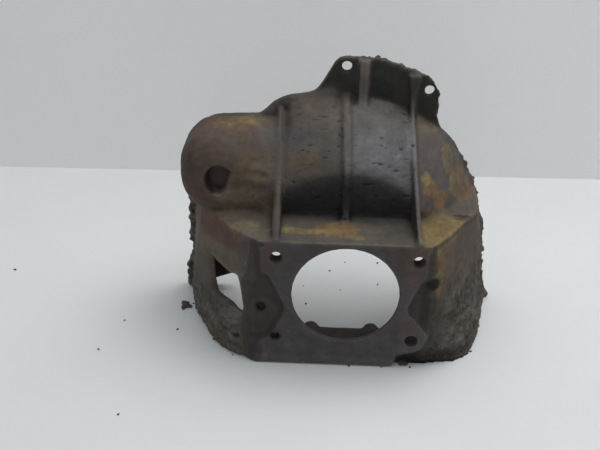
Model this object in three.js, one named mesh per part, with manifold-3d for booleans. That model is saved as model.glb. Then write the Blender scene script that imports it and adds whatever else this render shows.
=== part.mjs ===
// Cast-iron clutch bell housing for a manual transmission, standing on its open
// bottom rim. Millimetres, +Z up. +Y runs along the shaft axis from the
// transmission face (front) to the engine flange (rear); +X is to the right
// seen from the transmission face.
// Shapes are drawn from the centre of the register bore in the machined face.
// The finished part stands on Z = 0: its origin is on the bottom rim, straight
// below the shaft axis, in the middle of the rim's front bar.
import * as THREE from 'three';
import { mergeVertices } from 'three/addons/utils/BufferGeometryUtils.js';
import Module from 'manifold-3d';

const wasm = await Module();
wasm.setup();

// ---- driving dimensions ----------------------------------------------------
// Places are [x, z] from the shaft axis.
const DEPTH = 174;            // transmission face to engine flange face
const FLOOR = -98;            // bottom rim plane, below the shaft axis
const RIM_MID = 35;           // middle of the rim's front bar, behind the machined face
const RIM_BAR_REAR = 63;      // rear edge of that bar
const CASE_FLOOR = -86;       // inside floor, on top of the bar
const TOP = 68;               // flat top of the transmission block
const LOW_Z = -58;            // height of the low plan outline
const FACE_WALL = 16;         // thickness of the wall that carries the bore
const PAD = 5;                // the machined pad stands this far out of the wall
const PAD_REAR = PAD + 4;     // pads are sunk into the wall up to here
const SKIN = 8;               // general casting wall
const REAR_WALL = 62;         // outside of the bell's closed front end
const BELL_RISE = 1.045;      // the bell is a little taller than wide

const BORE_R = 61;            // register bore
const LAND = 4.5;             // depth of the register bore before it flares
const FLARE_R = BORE_R + 12.5;
const BORE_CHAMFER = 0.8;
const BOLT_X = 79.5;          // transmission bolt rectangle, half width
const BOLT_TOP = 47.3;        // upper bolt row
const BOLT_LOW = -58.8;       // lower bolt row
const BOLT_R = 6.8;           // clearance holes for 1/2 inch bolts
const BOLT_LOW_LEFT_R = 5.4;  // the lower left hole is smaller
const BOLT_BOSS_R = 13.5;

const STARTER = [-150, 103];  // starter bulge axis
const STARTER_R = 49;
const STARTER_FRONT = 66;     // outside of the bulge's closed end
const STARTER_POCKET = 19;    // depth of the opening in that end
const STARTER_LINING_R = 26;  // round thickening behind the end
const STARTER_LINING_RISE = 3.5;

const FLANGE_T = 12;          // engine flange thickness
const FLANGE_FRONT = DEPTH - FLANGE_T;
const CLUTCH_R = 158;         // ring-gear clearance circle in the engine flange
const EAR_HOLES = [[-5.8, 217.4], [94.7, 191.0]];
const EAR_R = 6.6;
const FLANGE_BOSS_R = 11;
const FLANGE_BOSS_DEPTH = 24;
const TAPPED = [[-180, 12], [163.5, 8]];       // for bolts from the engine side
const TAPPED_R = 5.5;
const TAPPED_DEPTH = 22;
const DOWELS = [[-182, -48], [170.5, -46]];
const DOWEL_R = 8;
const DOWEL_IN_R = 5.5;
const DOWEL_DEPTH = 9;        // half of each dowel sits in the housing
const DOWEL_CHAMFER = 0.8;

const COVER_SCREWS = [[-38, -90.5], [37, -90.5]];
const COVER_BOSS_R = 9.8;
const COVER_SCREW_R = 4.2;
const SIDE_HOLE = [-126, -69];  // small hole low on the left
const SIDE_HOLE_R = 4;

const PIVOT = [-96, -19.5];   // fork pivot stud axis
const PIVOT_HOLE_R = 4.9;
const PIVOT_THREAD_R = 4.5;
const NECK_R = 6;
const BALL_R = 9.5;
const BALL_Y = 48;
const HEX_R = 9.8;            // across corners / 2
const HEX_T = 9;
const WASHER_IN_R = PIVOT_HOLE_R + 0.4;
const WASHER_R = 9.4;
const WASHER_T = 2.2;
const GAP = 0.3;              // clearance between separate pieces

const OVERCUT = 10;           // how far cuts run past a wall
const PAST_REAR = DEPTH + 20; // rear end of the cavities

const CAST_IRON = { color: 0x4a4540, roughness: 0.72, metalness: 0.55 };
const DOWEL_STEEL = { color: 0x6e6c68, roughness: 0.42, metalness: 0.9 };
const STUD_STEEL = { color: 0x5c5853, roughness: 0.38, metalness: 0.9 };
const WASHER_STEEL = { color: 0x54504b, roughness: 0.5, metalness: 0.9 };

// ---- helpers ---------------------------------------------------------------
// closed manifold from a geometry, turned right side out if need be
function solid(geometry) {
  geometry.deleteAttribute('normal');
  geometry.deleteAttribute('uv');
  const merged = mergeVertices(geometry, 1e-4);
  const verts = new Float32Array(merged.attributes.position.array);
  let tris = new Uint32Array(merged.index.array);
  const corner = (i) => new THREE.Vector3().fromArray(verts, tris[i] * 3);
  let volume = 0;
  for (let i = 0; i < tris.length; i += 3) {
    volume += corner(i).dot(corner(i + 1).cross(corner(i + 2)));
  }
  if (volume < 0) {
    tris = tris.map((v, i) => (i % 3 === 1 ? tris[i + 1] : i % 3 === 2 ? tris[i - 1] : v));
  }
  return new wasm.Manifold(new wasm.Mesh({ numProp: 3, vertProperties: verts, triVerts: tris }));
}

function extrude(points, depth, steps = 1) {
  const shape = new THREE.Shape(points.map(([x, y]) => new THREE.Vector2(x, y)));
  return new THREE.ExtrudeGeometry(shape, { depth, bevelEnabled: false, steps });
}

// XZ outline, solid between Y = from and Y = to
function prismY(points, from, to) {
  return solid(extrude(points, to - from).rotateX(Math.PI / 2).translate(0, to, 0));
}

// XY outline, solid between Z = from and Z = to
function prismZ(points, from, to) {
  return solid(extrude(points, to - from).translate(0, 0, from));
}

// YZ outline, solid between X = from and X = to
function prismX(points, from, to) {
  const axes = new THREE.Matrix4().makeBasis(
    new THREE.Vector3(0, 1, 0), new THREE.Vector3(0, 0, 1), new THREE.Vector3(1, 0, 0));
  return solid(extrude(points, to - from).applyMatrix4(axes).translate(from, 0, 0));
}

// revolved about a line parallel to Y through (x, z); profile as [radius, y]
function turnY(profile, segments, x = 0, z = 0) {
  const points = profile.map(([radius, y]) => new THREE.Vector2(radius, y));
  return solid(new THREE.LatheGeometry(points, segments).translate(x, 0, z));
}

function rodY(radius, from, to, [x, z], segments) {
  return turnY([[0, from], [radius, from], [radius, to], [0, to]], segments, x, z);
}

// a tower of [z, XY outline] levels with equal point counts at rising heights
function loftZ(levels) {
  const base = levels[0][1];
  const steps = levels.length - 1;
  const geometry = extrude(base, steps, steps);
  const position = geometry.attributes.position;
  for (let i = 0; i < position.count; i++) {
    const [z, outline] = levels[Math.round(position.getZ(i))];
    // the nearest base corner tells which corner this vertex belongs to
    let nearest = 0;
    let least = Infinity;
    base.forEach(([x, y], k) => {
      const distance = (x - position.getX(i)) ** 2 + (y - position.getY(i)) ** 2;
      if (distance < least) {
        least = distance;
        nearest = k;
      }
    });
    position.setXYZ(i, ...outline[nearest], z);
  }
  return solid(geometry);
}

// moves every side of an outline inwards, with a limit at sharp corners
function inset(points, distance) {
  const count = points.length;
  const area = points.reduce((sum, [x, y], i) => {
    const [nextX, nextY] = points[(i + 1) % count];
    return sum + x * nextY - nextX * y;
  }, 0);
  const side = area > 0 ? 1 : -1;
  const inward = (start, end) => {
    const edge = new THREE.Vector2(end[0] - start[0], end[1] - start[1]).normalize();
    return new THREE.Vector2(-edge.y, edge.x).multiplyScalar(side);
  };
  return points.map((point, i) => {
    const before = inward(points[(i + count - 1) % count], point);
    const after = inward(point, points[(i + 1) % count]);
    const reach = distance / Math.max(0.35, 1 + before.dot(after));
    return [point[0] + (before.x + after.x) * reach, point[1] + (before.y + after.y) * reach];
  });
}

// points on a circle, angles in degrees
function arc(centreX, centreZ, radius, from, to, count) {
  return Array.from({ length: count + 1 }, (_, i) => {
    const angle = THREE.MathUtils.degToRad(from + (to - from) * i / count);
    return [centreX + radius * Math.cos(angle), centreZ + radius * Math.sin(angle)];
  });
}

function mesh(name, body, material) {
  const { vertProperties, triVerts } = body.getMesh();
  const geometry = new THREE.BufferGeometry();
  geometry.setAttribute('position', new THREE.Float32BufferAttribute(vertProperties, 3));
  geometry.setIndex(new THREE.Uint32BufferAttribute(triVerts, 1));
  geometry.computeVertexNormals();
  const result = new THREE.Mesh(geometry, new THREE.MeshStandardMaterial(material));
  result.name = name;
  return result;
}

// ---- outside of the casting ------------------------------------------------
// Plan outlines of the lower housing as [x, y]: back along the left side, across
// the rear and forward along the right. Same corner order at every level.
const PLAN_TOP = [
  [-104, PAD], [-121, 20], [-136, 35], [-154, 58], [-173, 84], [-182, 118], [-187, DEPTH],
  [164, DEPTH], [162, 128], [156, 91], [144, 74], [115, 30], [96, PAD]];
const PLAN_SHOULDER = [
  [-105, PAD], [-121, 19], [-136, 34], [-155, 57], [-174, 84], [-183, 118], [-188, DEPTH],
  [167, DEPTH], [164, 128], [157, 90], [145, 73], [116, 28], [97, PAD]];
const PLAN_MID = [
  [-111, PAD + 1], [-127, 12], [-146, 32], [-166, 56], [-181, 84], [-187, 118], [-191, DEPTH],
  [178, DEPTH], [171, 124], [160, 87], [148, 67], [121, 25], [99, PAD + 1]];
const PLAN_LOW = [
  [-109, PAD + 1], [-126, 11], [-146, 28], [-168, 60], [-186, 92], [-193, 128], [-198, DEPTH],
  [187, DEPTH], [178, 120], [166, 80], [152, 54], [126, 19], [98, PAD + 1]];
const PLAN_RIM = [
  [-104, PAD + 3], [-124, 10], [-148, 26], [-171, 70], [-190, 112], [-198, 142], [-203, DEPTH],
  [198, DEPTH], [184, 118], [171, 66], [158, 30], [136, 14], [92, PAD + 3]];

// [radius, y]
const BELL_PROFILE = [
  [0, REAR_WALL], [100, REAR_WALL], [109, REAR_WALL + 1.2], [116, REAR_WALL + 5], [122, 74],
  [131, 85], [140, 98], [149, 112], [158, 127], [166, 143], [171.5, 158], [174, DEPTH], [0, DEPTH]];
const BULGE_PROFILE = [
  [0, STARTER_FRONT], [22, STARTER_FRONT], [31, STARTER_FRONT + 3], [39, STARTER_FRONT + 9],
  [45, STARTER_FRONT + 18], [48, STARTER_FRONT + 30], [STARTER_R, STARTER_FRONT + 44],
  [STARTER_R, DEPTH], [0, DEPTH]];

// web between the starter bulge and the bell:
// [z, front left x, front left y, right x, front right y, rear left x]
const WEB = [
  [40, -150, 80, -82, 70, -186],
  [68, -150, 71, -82, 69, -180],
  [84, -149, 66.4, -82, 67.5, -176],
  [104, -149, 66.4, -82, 69, -172],
  [115, -149, 66.8, -82, 80, -168],
  [127, -149, 68.5, -83, 95, -160],
  [138, -149, 73, -84, 107, -154],
  [146, -148, 82, -85, 117, -150],
  [150.5, -146, 95, -86, 125, -146],
  [153, -140, 132, -90, 146, -140]];

function webLoft(stations, rearY) {
  return loftZ(stations.map(([z, leftX, leftY, rightX, rightY, rearLeftX]) => [
    z, [[leftX, leftY], [rightX, rightY], [rightX, rearY], [rearLeftX, rearY]]]));
}

// engine flange with its two top ears, [x, z]: up the left side, down the right
const FLANGE_OUTLINE = [
  [-207, FLOOR], [-205, -60], [-203, -50], [-196, -41], [-196, -32], [-201, -24],
  [-199, 30], [-198, 70],
  ...arc(...STARTER, STARTER_R, 205, 95, 9),
  [-120, 152], [-108, 152.5], [-100, 160], [-92, 169], [-83, 173], [-73, 176], [-61, 178],
  [-51, 181], [-43, 184.5], [-37, 192], [-26, 211], [-20, 222], [-15, 227], [-8, 228.6],
  [23, 227.6], [39, 225], [57, 219.5], [76, 213], [88, 207], [96, 202.5], [102.5, 196],
  [105.5, 187], [106, 170], [105.5, 152], [110, 141],
  ...arc(0, 0, 176.5, 50, 9, 10),
  [180, 20], [184, -25], [188, -60], [199, FLOOR]];

// rib profiles as [y, z]
const RIGHT_RIB = [
  [0, 66], [0, 71], [24, 84], [60, 104], [75, 115], [107, 137], [125, 148], [140, 158],
  [151, 170], [158, 188], [163, 208], [170, 210], [170, 60], [10, 60]];
const LEFT_RIB = [
  [0, 66], [0, 70], [24, 82], [60, 103], [74, 112], [92, 127], [120, 149], [140, 162],
  [150, 167], [170, 167], [170, 60], [10, 60]];
const MIDDLE_RIB = [
  [44, 66], [50, 69.5], [57, 88], [58, 113], [63, 124], [74, 134], [98, 152], [127, 170],
  [148, 181], [158, 184], [170, 184], [170, 60], [60, 60]];
const EAR_RIB = [
  [140, 172], [148, 184], [150, 195], [151, 210], [154, 222], [157, 227.2], [170, 227.2],
  [170, 172]];
// upright at the rear end of the right rib, widening upwards, [x, z]
const RIB_UPRIGHT = [
  [67.5, 211], [82.5, 211], [81.5, 204], [77.6, 186], [77.2, 172], [71.4, 172], [71.4, 186],
  [68.6, 204]];

// front pads, [x, z]
const PAD_OUTLINE = [
  [-101, TOP], [-101, 62], [-97, 58], [-97, 28], [-88, 24], [-70.5, -15], [-70.5, -27],
  [-88, -60], [-100, -66], [-101, -83], [56, -83], [70, -82], [84, -77], [95, -68], [99, -57],
  [97, -47], [74, -20], [72, -13], [84, 20], [90, 26], [91, 58], [94, 62], [94, TOP]];
const SIDE_PAD_OUTLINE = [[-107, -11], [-84, -8], [-73, -21], [-86, -46], [-93, -57], [-107, -57]];

// thin vertical plate that runs back slightly to the left
function rib(profile, x, thickness) {
  return prismX(profile, -thickness / 2, thickness / 2).rotate([0, 0, 1.35]).translate([x, 0, 0]);
}

// everything under the rim plane
const belowRim = prismZ([[-260, -40], [260, -40], [260, 260], [-260, 260]], -220, FLOOR);

function outerBody() {
  return loftZ([
    [FLOOR, PLAN_RIM], [LOW_Z, PLAN_LOW], [14, PLAN_MID], [50, PLAN_SHOULDER], [TOP, PLAN_TOP]])
    .add(turnY(BELL_PROFILE, 128).scale([1, 1, BELL_RISE]))
    .add(turnY(BULGE_PROFILE, 72, ...STARTER))
    .add(webLoft(WEB, DEPTH))
    .add(prismY(FLANGE_OUTLINE, FLANGE_FRONT, DEPTH))
    .add(rib(RIGHT_RIB, 78.6, 6).add(prismY(RIB_UPRIGHT, 155, 170)))
    .add(rib(LEFT_RIB, -80, 6))
    .add(rib(MIDDLE_RIB, -1.5, 9))
    .add(prismX(EAR_RIB, 9, 20))
    .add(prismY(PAD_OUTLINE, 0, PAD_REAR))
    .add(prismY(SIDE_PAD_OUTLINE, PAD - 3, PAD_REAR))
    .subtract(belowRim);
}

// ---- inside of the casting -------------------------------------------------
// [radius, y]
const BELL_HOLLOW = [
  [0, REAR_WALL + SKIN], [96, REAR_WALL + SKIN], [106, REAR_WALL + SKIN + 3], [114, 80],
  [123, 92], [132, 105], [141, 119], [150, 134], [158, 150], [163.5, 164], [164.5, PAST_REAR],
  [0, PAST_REAR]];
const BULGE_HOLLOW = [
  [0, STARTER_FRONT + SKIN], [18, STARTER_FRONT + SKIN], [29, STARTER_FRONT + 13],
  [36, STARTER_FRONT + 20], [40, STARTER_FRONT + 30], [STARTER_R - SKIN, STARTER_FRONT + 44],
  [STARTER_R - SKIN, PAST_REAR], [0, PAST_REAR]];
// columns as in WEB
const WEB_HOLLOW = [
  [30, -150, 92, -84, 84, -180],
  [84, -146, 77, -84, 78, -168],
  [104, -146, 77, -84, 80, -162],
  [118, -146, 79, -84, 95, -158],
  [133, -146, 86, -84, 114, -146],
  [142, -140, 104, -96, 134, -140]];

// Level of a cavity: the plan outline moved in by the wall. Corners ahead of
// frontLimit go to frontY, and the rear corners run out through the flange face.
function cavityLevel(z, plan, wall, frontLimit, frontY) {
  return [z, inset(plan, wall).map(([x, y]) => [
    x, y < frontLimit ? frontY : y > 150 ? PAST_REAR : y])];
}

function hollowOut(body) {
  const caseLevels = [
    [CASE_FLOOR, PLAN_LOW], [26, PLAN_MID], [42, PLAN_SHOULDER], [TOP - SKIN, PLAN_TOP]];
  const gearCase = loftZ(caseLevels.map(
    ([z, plan]) => cavityLevel(z, plan, SKIN, FACE_WALL + 3, FACE_WALL)));
  const openBottom = loftZ([
    cavityLevel(FLOOR - 30, PLAN_RIM, SKIN + 2, RIM_BAR_REAR, RIM_BAR_REAR),
    cavityLevel(LOW_Z, PLAN_LOW, SKIN, RIM_BAR_REAR, RIM_BAR_REAR)]);
  return body
    .subtract(gearCase)
    .subtract(openBottom)
    .subtract(turnY(BELL_HOLLOW, 112).scale([1, 1, BELL_RISE]))
    .subtract(turnY(BULGE_HOLLOW, 60, ...STARTER))
    .subtract(webLoft(WEB_HOLLOW, PAST_REAR));
}

// ---- bosses, bores and openings --------------------------------------------
// the flange face reaches in to the ring-gear circle on both sides, [x, z]
const FLANGE_WEB_LEFT = [
  [-192, 60], ...arc(0, 0, CLUTCH_R, 158, 207.5, 10), [-171, -85], [-200, -85]];
const FLANGE_WEB_RIGHT = [[166, 56], ...arc(0, 0, CLUTCH_R, 20.5, -23.5, 9), [186, -66]];

// cored opening in the bulge's closed end, with a peak on its inner side, [x, z]
const STARTER_HOLE = [
  [-158, 123.5], [-150.5, 126], [-142, 124], [-133.8, 117.4], [-138.6, 107],
  [-142.5, 92], [-149.9, 87], [-157, 88.8], [-164.3, 99], [-165.6, 113]];

// clutch-fork window in the left wall: side outline [y, z] and front outline [x, z]
const FORK_WINDOW_SIDE = [
  [54, 20], [39, 17], [21, 14], [10, 17], [3, 12], [1, -8], [0, -28], [8, -30],
  [24, -27], [46, -26], [50, -12]];
const FORK_WINDOW_FRONT = [
  [-240, -60], [-114.5, -60], [-115, -37], [-117, -27], [-120.5, -1], [-124, 19],
  [-126, 30], [-240, 30]];

// flange webs, and bosses for the tapped holes and ring dowels
function addFlangeBacking(body) {
  let result = body.add(prismY(FLANGE_WEB_LEFT, FLANGE_FRONT, DEPTH)
    .add(prismY(FLANGE_WEB_RIGHT, FLANGE_FRONT, DEPTH)));
  for (const place of [...TAPPED, ...DOWELS]) {
    result = result.add(rodY(FLANGE_BOSS_R, DEPTH - FLANGE_BOSS_DEPTH, DEPTH, place, 32));
  }
  return result;
}

// two bosses for the cover screws on the rear edge of the rim's front bar
function addCoverBosses(body) {
  let result = body;
  for (const place of COVER_SCREWS) {
    result = result
      .add(rodY(COVER_BOSS_R, 46, 68, place, 28).subtract(belowRim))
      .subtract(rodY(COVER_SCREW_R, 52, 80, place, 16));
  }
  return result;
}

// register bore, flared behind its land but kept off the case's top and floor
function cutBore(body) {
  const wallRear = FACE_WALL + OVERCUT;
  const flare = turnY([
    [0, LAND], [BORE_R, LAND], [FLARE_R, FACE_WALL + 1], [FLARE_R, wallRear], [0, wallRear]], 96)
    .intersect(prismZ([[-80, 0], [80, 0], [80, 60], [-80, 60]], -85, TOP - SKIN - 0.5));
  return body.subtract(rodY(BORE_R, -OVERCUT, wallRear, [0, 0], 96)).subtract(flare);
}

// 45 degree chamfer at the mouth of the bore
function chamferBore(body) {
  const start = -6;
  return body.subtract(turnY([
    [0, start], [BORE_R + BORE_CHAMFER - start, start], [BORE_R, BORE_CHAMFER],
    [0, BORE_CHAMFER]], 96));
}

function cutTransmissionBolts(body) {
  let result = body;
  for (const x of [-BOLT_X, BOLT_X]) {
    result = result.add(rodY(BOLT_BOSS_R, FACE_WALL - 3, FACE_WALL + 4, [x, BOLT_TOP], 32));
  }
  for (const [x, z, radius] of [
    [-BOLT_X, BOLT_TOP, BOLT_R], [BOLT_X, BOLT_TOP, BOLT_R],
    [-BOLT_X, BOLT_LOW, BOLT_LOW_LEFT_R], [BOLT_X, BOLT_LOW, BOLT_R]]) {
    result = result.subtract(rodY(radius, -OVERCUT, FACE_WALL + OVERCUT, [x, z], 28));
  }
  return result;
}

function cutStarterHole(body) {
  const [x, z] = STARTER;
  const pocketEnd = STARTER_FRONT + STARTER_POCKET;
  return body
    .add(rodY(STARTER_LINING_R, STARTER_FRONT + 5, pocketEnd + SKIN,
      [x, z + STARTER_LINING_RISE], 40))
    .subtract(prismY(STARTER_HOLE, STARTER_FRONT - OVERCUT, pocketEnd));
}

// fork window, the small hole below it, and the pivot stud's hole
function cutForkOpenings(body) {
  return body
    .subtract(prismX(FORK_WINDOW_SIDE, -230, -106)
      .intersect(prismY(FORK_WINDOW_FRONT, -20, 100)))
    .subtract(rodY(SIDE_HOLE_R, -OVERCUT, 60, SIDE_HOLE, 18))
    .subtract(rodY(PIVOT_HOLE_R, -OVERCUT, FACE_WALL + OVERCUT, PIVOT, 24));
}

// holes in the engine flange, all open at its rear face
function cutFlangeHoles(body) {
  const end = DEPTH + OVERCUT;
  let result = body;
  for (const [places, radius, start, segments] of [
    [EAR_HOLES, EAR_R, 120, 28],
    [TAPPED, TAPPED_R, DEPTH - TAPPED_DEPTH, 24],
    [DOWELS, DOWEL_R + GAP, DEPTH - DOWEL_DEPTH - GAP, 32]]) {
    for (const place of places) {
      result = result.subtract(rodY(radius, start, end, place, segments));
    }
  }
  return result;
}

// the order matters: some steps add metal that later ones cut
function bellHousing() {
  const steps = [
    hollowOut, addFlangeBacking, addCoverBosses, cutBore, cutTransmissionBolts,
    cutStarterHole, chamferBore, cutForkOpenings, cutFlangeHoles];
  return steps.reduce((body, step) => step(body), outerBody());
}

// ---- small separate pieces -------------------------------------------------
// hollow dowel that centres the housing on the engine
function ringDowel() {
  const length = 2 * DOWEL_DEPTH;
  return turnY([
    [DOWEL_IN_R, 0], [DOWEL_R - DOWEL_CHAMFER, 0], [DOWEL_R, DOWEL_CHAMFER],
    [DOWEL_R, length - DOWEL_CHAMFER], [DOWEL_R - DOWEL_CHAMFER, length],
    [DOWEL_IN_R, length], [DOWEL_IN_R, 0]], 40);
}

// ball stud that the release fork rocks on: thread, hexagon, neck and ball
function ballStud() {
  const seat = FACE_WALL + GAP + WASHER_T + GAP;   // the hexagon sits on the washer
  const ball = arc(0, BALL_Y, BALL_R, -51, 90, 10);
  ball[10][0] = 0;   // closes exactly on the axis
  const turned = turnY([
    [0, 5], [3.6, 5], [PIVOT_THREAD_R, 6], [PIVOT_THREAD_R, seat + 1],
    [NECK_R, seat + 1], [NECK_R, 40.5], ...ball], 32);
  return turned.add(prismY(arc(0, 0, HEX_R, 30, 330, 5), seat, seat + HEX_T));
}

// washer split by a slanting slit
function springWasher() {
  return turnY([
    [WASHER_IN_R, 0], [WASHER_R, 0], [WASHER_R, WASHER_T], [WASHER_IN_R, WASHER_T],
    [WASHER_IN_R, 0]], 32)
    .subtract(prismY([[-0.8, 3], [0.8, 3], [1.6, 12], [0, 12]], -1, 4));
}

// ---- scene graph -----------------------------------------------------------
const housing = new THREE.Group();
housing.position.set(0, -RIM_MID, -FLOOR);
housing.add(mesh('bell_housing', bellHousing(), CAST_IRON));

DOWELS.forEach(([x, z], i) => {
  const dowel = mesh(i ? 'ring_dowel_right' : 'ring_dowel_left', ringDowel(), DOWEL_STEEL);
  dowel.position.set(x, DEPTH - DOWEL_DEPTH, z);
  housing.add(dowel);
});

const pivot = new THREE.Group();
pivot.position.set(PIVOT[0], 0, PIVOT[1]);
pivot.add(mesh('fork_pivot_ball_stud', ballStud(), STUD_STEEL));
const washer = mesh('fork_pivot_spring_washer', springWasher(), WASHER_STEEL);
washer.position.set(0, FACE_WALL + GAP, 0);
pivot.add(washer);
housing.add(pivot);

const root = new THREE.Group();
root.add(housing);

export default root;
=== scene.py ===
"""Old cast-iron bell housing standing on a white floor, with dowels and a fork pivot stud.

Shapes are worked out in millimetres from the register bore's centre: x to the right,
z up, y from the transmission face (y = 0, the front) back to the engine face (y = DEPTH).
"""
import math
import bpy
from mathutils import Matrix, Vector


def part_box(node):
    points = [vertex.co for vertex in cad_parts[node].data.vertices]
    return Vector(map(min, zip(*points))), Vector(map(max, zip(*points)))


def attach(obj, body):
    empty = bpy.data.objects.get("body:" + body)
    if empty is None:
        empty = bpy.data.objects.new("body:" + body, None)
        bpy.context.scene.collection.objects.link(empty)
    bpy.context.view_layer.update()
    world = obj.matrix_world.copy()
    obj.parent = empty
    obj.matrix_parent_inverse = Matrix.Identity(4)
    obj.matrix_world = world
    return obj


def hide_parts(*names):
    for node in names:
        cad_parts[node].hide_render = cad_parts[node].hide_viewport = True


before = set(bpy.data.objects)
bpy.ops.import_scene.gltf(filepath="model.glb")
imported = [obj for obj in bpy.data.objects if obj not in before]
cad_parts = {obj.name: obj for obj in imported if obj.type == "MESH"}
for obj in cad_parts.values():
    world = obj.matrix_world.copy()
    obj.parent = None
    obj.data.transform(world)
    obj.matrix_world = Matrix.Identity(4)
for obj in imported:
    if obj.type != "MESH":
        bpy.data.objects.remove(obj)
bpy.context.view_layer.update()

from types import SimpleNamespace

import bmesh
import bpy
import numpy as np
from mathutils import Matrix, Vector

MM = 0.001
low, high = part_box("bell_housing")
FLOOR_Z = -98.0                # lowest point of the casting
# from the bore's centre to the part's own frame
SHIFT = np.array([low.x / MM + 207.0, low.y / MM, low.z / MM - FLOOR_Z])
DEPTH = (high.y - low.y) / MM
BORE_R = 61.0
STARTER = (-150.0, 103.0)      # x, z of the starter bulge
HOLE = (STARTER[0], 107.0)     # x, z of the round hole in the bulge
EAR_HOLES = ((-5.8, 217.4), (94.7, 191.0))    # x, z of holes in the engine flange's ears
RIB_LEAN = 0.0236              # the bell's ribs shift this much in x per mm of depth
IRON = (92, 84, 78)            # general colour of the oily, rusty iron, sRGB 0..255
SHADE = 0.56                   # how dark the oil makes it all
LONG = np.array([1.0, 0.6, 1.0])    # scaling that draws noise out along the shaft


def level(full):
    return full


def place(x, y, z):
    return Vector(((x + SHIFT[0]) * MM, (y + SHIFT[1]) * MM, (z + SHIFT[2]) * MM))


# ---------------------------------------------------------------- noise and soft masks
def noise_tables(seed):
    rng = np.random.RandomState(seed)
    order = rng.permutation(256)
    slopes = rng.normal(size=(256, 3))
    slopes /= np.linalg.norm(slopes, axis=1)[:, None]
    return np.r_[order, order], slopes.astype(np.float32)


def perlin(pts, seed):
    order, slopes = noise_tables(seed)
    cell = np.floor(pts).astype(np.int64)
    part = (pts - cell).astype(np.float32)
    ease = part * part * part * (part * (part * 6 - 15) + 10)
    total = np.zeros(len(pts), np.float32)
    for i in (0, 1):
        weight_x = ease[:, 0] if i else 1 - ease[:, 0]
        hash_x = order[(cell[:, 0] + i) & 255]
        for j in (0, 1):
            weight_y = ease[:, 1] if j else 1 - ease[:, 1]
            hash_y = order[hash_x + ((cell[:, 1] + j) & 255)]
            for k in (0, 1):
                weight_z = ease[:, 2] if k else 1 - ease[:, 2]
                slope = slopes[order[hash_y + ((cell[:, 2] + k) & 255)]]
                away = part - np.array([i, j, k], np.float32)
                total += weight_x * weight_y * weight_z * (slope * away).sum(1)
    return total * 1.6


def fbm(pts, scale, octaves, seed, gain=0.5):
    """noise in about -1..1; scale is the size of the largest feature, in mm"""
    noise = np.zeros(len(pts), np.float32)
    amp, total, scaled = 1.0, 0.0, pts / scale
    for k in range(octaves):
        noise += amp * perlin(scaled + 17.3 * k, seed + k)
        total += amp
        amp *= gain
        scaled = scaled * 2.03
    return noise / total


def step(start, end, value):
    """eases from 0 at start to 1 at end; start may be the larger"""
    t = np.clip((value - start) / (end - start), 0, 1)
    return t * t * (3 - 2 * t)


def band(start, end, value, soft):
    """1 between start and end, with edges soft to either side"""
    return step(start - soft, start + soft, value) * (1 - step(end - soft, end + soft, value))


def blob(pts, centre, radii):
    away = (pts - np.array(centre)) / np.array(radii)
    return np.exp(-(away * away).sum(1))


# ---------------------------------------------------------------- mesh tools
def points(mesh):
    flat = np.empty(len(mesh.vertices) * 3, np.float32)
    mesh.vertices.foreach_get("co", flat)
    return flat.reshape(-1, 3) / MM - SHIFT


def set_points(mesh, pts):
    mesh.vertices.foreach_set("co", ((pts + SHIFT) * MM).astype(np.float32).ravel())
    mesh.update()


def normals(mesh):
    flat = np.empty(len(mesh.vertices) * 3, np.float32)
    mesh.vertex_normals.foreach_get("vector", flat)
    return flat.reshape(-1, 3)


def links(mesh):
    """the two ends of each edge, and how many edges meet at each vertex"""
    ends = np.empty(len(mesh.edges) * 2, np.int32)
    mesh.edges.foreach_get("vertices", ends)
    count = np.bincount(ends, minlength=len(mesh.vertices)).astype(float)
    return ends.reshape(-1, 2), count


def to_neighbours(pts, ends, count):
    """from each vertex to the mean of its neighbours"""
    total = np.zeros_like(pts)
    for k in range(3):
        total[:, k] = (np.bincount(ends[:, 0], pts[ends[:, 1], k], len(pts))
                       + np.bincount(ends[:, 1], pts[ends[:, 0], k], len(pts)))
    return total / count[:, None] - pts


def voxel(obj, size):
    remesh = obj.modifiers.new("remesh", "REMESH")
    remesh.mode = "VOXEL"
    remesh.voxel_size = size * MM
    remesh.adaptivity = 0.0
    graph = bpy.context.evaluated_depsgraph_get()
    mesh = bpy.data.meshes.new_from_object(obj.evaluated_get(graph))
    obj.modifiers.clear()
    old = obj.data
    obj.data = mesh
    bpy.data.meshes.remove(old)


def smooth(mesh, rounds, fill, shave, hold):
    """fill: how much hollows come up; shave: how much crests go down; hold: 1 stays put"""
    ends, count = links(mesh)
    pts = points(mesh)
    for k in range(rounds):
        if k % 4 == 0:
            set_points(mesh, pts)
            out = normals(mesh)
        move = to_neighbours(pts, ends, count)
        rate = np.where((move * out).sum(1) > 0, fill, shave) * (1 - hold)
        pts = pts + move * rate[:, None]
    set_points(mesh, pts)


def hollows(mesh):
    """how far each point lies below (+) its smoothed surroundings, near and wide, in mm"""
    ends, count = links(mesh)
    pts, out = points(mesh), normals(mesh)
    eased = pts.copy()
    for k in range(14):
        eased += 0.6 * to_neighbours(eased, ends, count)
        if k == 2:
            near = ((eased - pts) * out).sum(1)
    return near, ((eased - pts) * out).sum(1)


def new_object(name, mesh):
    obj = bpy.data.objects.new(name, mesh)
    bpy.context.scene.collection.objects.link(obj)
    return obj


# ---------------------------------------------------------------- places on the casting
def outward(pts, out):
    """above 0 where the surface looks out of the casting, below 0 on its inside walls"""
    away = pts - np.array([-8.0, 175.0, 0.0])
    away /= np.linalg.norm(away, axis=1)[:, None] + 1e-6
    return (away * out).sum(1)


def flat_faces(pts, margin):
    x, y, z = pts.T
    return (np.abs(y) < margin) | (y > DEPTH - margin) | (z < FLOOR_Z + margin)


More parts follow.
